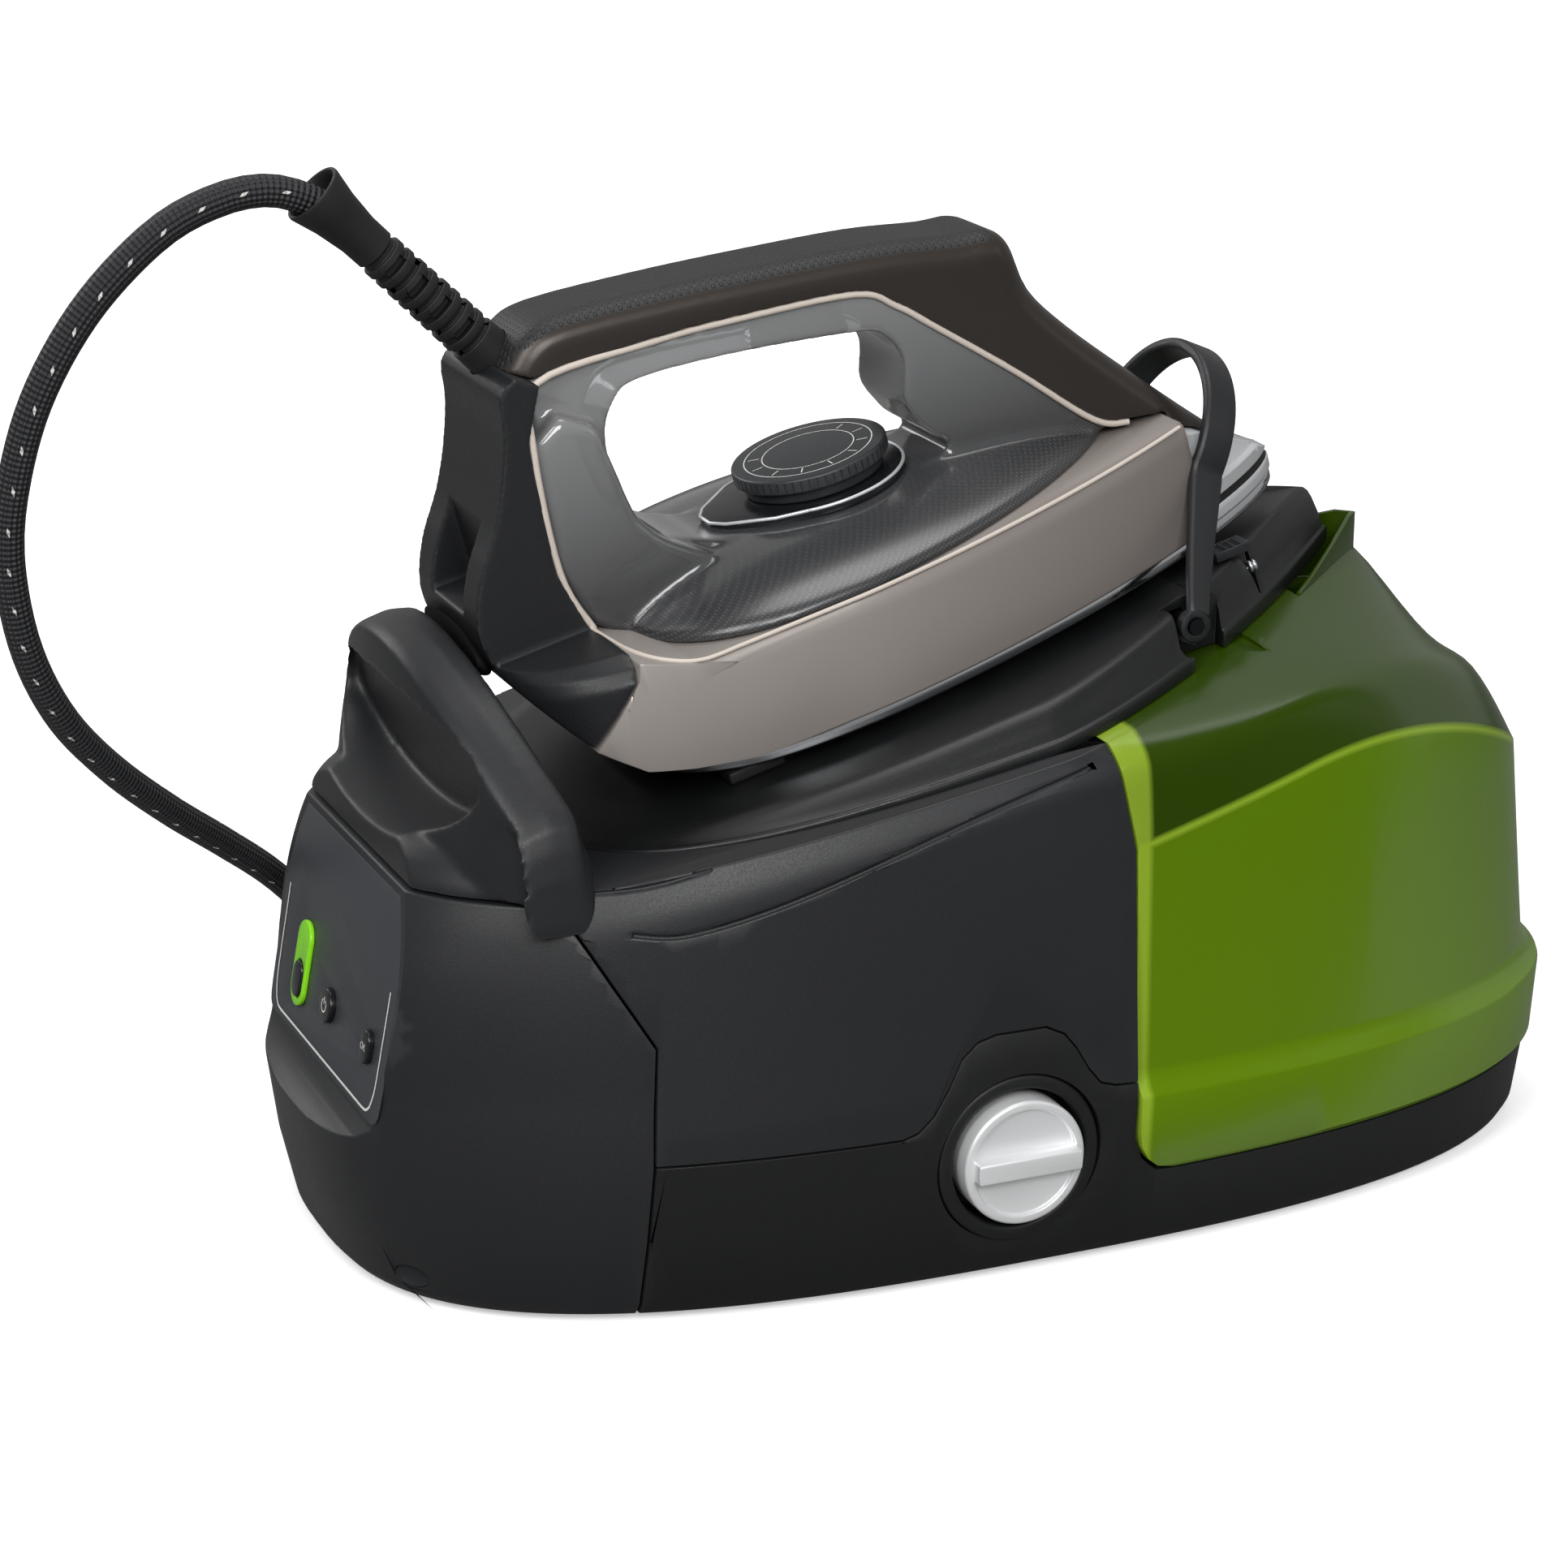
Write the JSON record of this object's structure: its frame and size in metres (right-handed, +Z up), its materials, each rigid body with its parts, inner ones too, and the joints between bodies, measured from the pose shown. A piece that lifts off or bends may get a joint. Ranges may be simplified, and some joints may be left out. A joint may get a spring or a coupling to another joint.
{
  "type": "steam generator iron",
  "caption": "Steam generator iron: black base with boiler, pump and green slide-out water tank, and a steam iron locked on top by a hoop, joined to the base by a braided hose.",
  "frame": {"origin": "plane under the rubber feet, at the middle of the base", "axes": "+X from the control panel to the water tank, +Y to the far side where the hose enters, +Z up"},
  "size_m": [0.4907, 0.366, 0.3267],
  "materials": {
    "black_plastic": "satin, fine texture",
    "smoke_plastic": "glossy smoke grey",
    "soft_grip": "soft touch",
    "trim_plastic": "satin",
    "taupe_shield": "satin",
    "rubber": "matte",
    "button_plastic": "satin",
    "green_plastic": "satin",
    "tank_plastic": "glossy, translucent green",
    "white_plastic": "satin",
    "polished_steel": "polished",
    "brushed_steel": "brushed",
    "cast_aluminium": "cast",
    "silver_plastic": "satin silver",
    "brass": "machined",
    "circuit": "coated board",
    "silicone": "satin",
    "braided_hose": "braided"
  },
  "bodies": {
    "base": {"base_tray": "black_plastic", "front_housing": "black_plastic", "main_housing": "black_plastic", "carry_handle": "black_plastic", "iron_rest": "black_plastic", "rest_pads": "rubber", "feet": "rubber", "control_panel": "black_plastic", "eco_bezel": "green_plastic", "panel_board": "circuit", "calc_seal": "silicone", "knob_collar": "black_plastic", "hoop_pins": "brushed_steel", "latch_spring": "brushed_steel", "tank_dock": "black_plastic", "boiler": "brushed_steel", "boiler_stand": "brushed_steel", "heating_element": "brushed_steel", "safety_valve": "brass", "steam_valve": "black_plastic", "pump": "white_plastic", "pump_mounts": "rubber", "water_pipe": "silicone", "feed_pipe": "silicone", "steam_pipe": "silicone", "main_board": "circuit", "hose_gland": "rubber", "power_inlet": "rubber", "case_screws": "brushed_steel", "hose_lower": "braided_hose", "hose_tail": "braided_hose", "hose_coil": "braided_hose", "hose_tie": "rubber"},
    "iron": {"soleplate": "polished_steel", "steam_chamber": "cast_aluminium", "heat_shield": "taupe_shield", "handle_body": "smoke_plastic", "handle_cover": "soft_grip", "handle_trim": "trim_plastic", "heel_cover": "black_plastic", "heel_pad": "rubber", "nose_plate": "silver_plastic", "dial_seat": "button_plastic", "thermostat": "brass", "trigger_switch": "brushed_steel", "hose_boot": "rubber", "hose_upper": "braided_hose"},
    "dial": {"temperature_dial": "button_plastic"},
    "trigger": {"steam_trigger": "button_plastic"},
    "hoop": {"lock_hoop": "black_plastic"},
    "latch": {"hoop_latch": "black_plastic"},
    "tank": {"water_tank": "tank_plastic", "tank_valve": "white_plastic"},
    "knob": {"calc_knob": "silver_plastic", "calc_collector": "brass"},
    "eco_key": {"eco_button": "button_plastic"},
    "power_key": {"power_button": "button_plastic"},
    "ok_key": {"ok_button": "button_plastic"}
  },
  "joints": [
    {"name": "iron_lift", "type": "hinge", "parent": "base", "child": "iron", "pos_m": [0.118, 0, 0.325], "axis": [0, 1, 0], "range_deg": [0, 30]},
    {"name": "dial_turn", "type": "hinge", "parent": "iron", "child": "dial", "pos_m": [-0.03786, 0, 0.22688], "axis": [-0.2656, 0, 0.9641], "range_deg": [0, 270]},
    {"name": "steam_trigger_press", "type": "hinge", "parent": "iron", "child": "trigger", "pos_m": [-0.0362, 0, 0.2736], "axis": [0, 1, 0], "range_deg": [0, 5], "stiffness_Nm_per_rad": 0.4, "springref_deg": -5.73},
    {"name": "hoop_swing", "type": "hinge", "parent": "base", "child": "hoop", "pos_m": [0.062, 0, 0.181], "axis": [0, 1, 0], "range_deg": [0, 18]},
    {"name": "hoop_latch_slide", "type": "slide", "parent": "base", "child": "latch", "axis": [0.9641, 0, 0.2656], "range_m": [0, 0.005], "stiffness_N_per_m": 150, "springref_m": -0.003},
    {"name": "tank_slide", "type": "slide", "parent": "base", "child": "tank", "axis": [1, 0, 0], "range_m": [0, 0.15]},
    {"name": "calc_knob_turn", "type": "hinge", "parent": "base", "child": "knob", "pos_m": [-0.017, -0.1, 0.04], "axis": [0, -1, 0], "range_deg": [0, 90]},
    {"name": "eco_press", "type": "slide", "parent": "base", "child": "eco_key", "axis": [0.9824, 0, -0.1868], "range_m": [0, 0.0012], "stiffness_N_per_m": 400, "springref_m": -0.001},
    {"name": "power_press", "type": "slide", "parent": "base", "child": "power_key", "axis": [0.9824, 0, -0.1868], "range_m": [0, 0.0012], "stiffness_N_per_m": 400, "springref_m": -0.001},
    {"name": "ok_press", "type": "slide", "parent": "base", "child": "ok_key", "axis": [0.9824, 0, -0.1868], "range_m": [0, 0.0012], "stiffness_N_per_m": 400, "springref_m": -0.001}
  ]
}
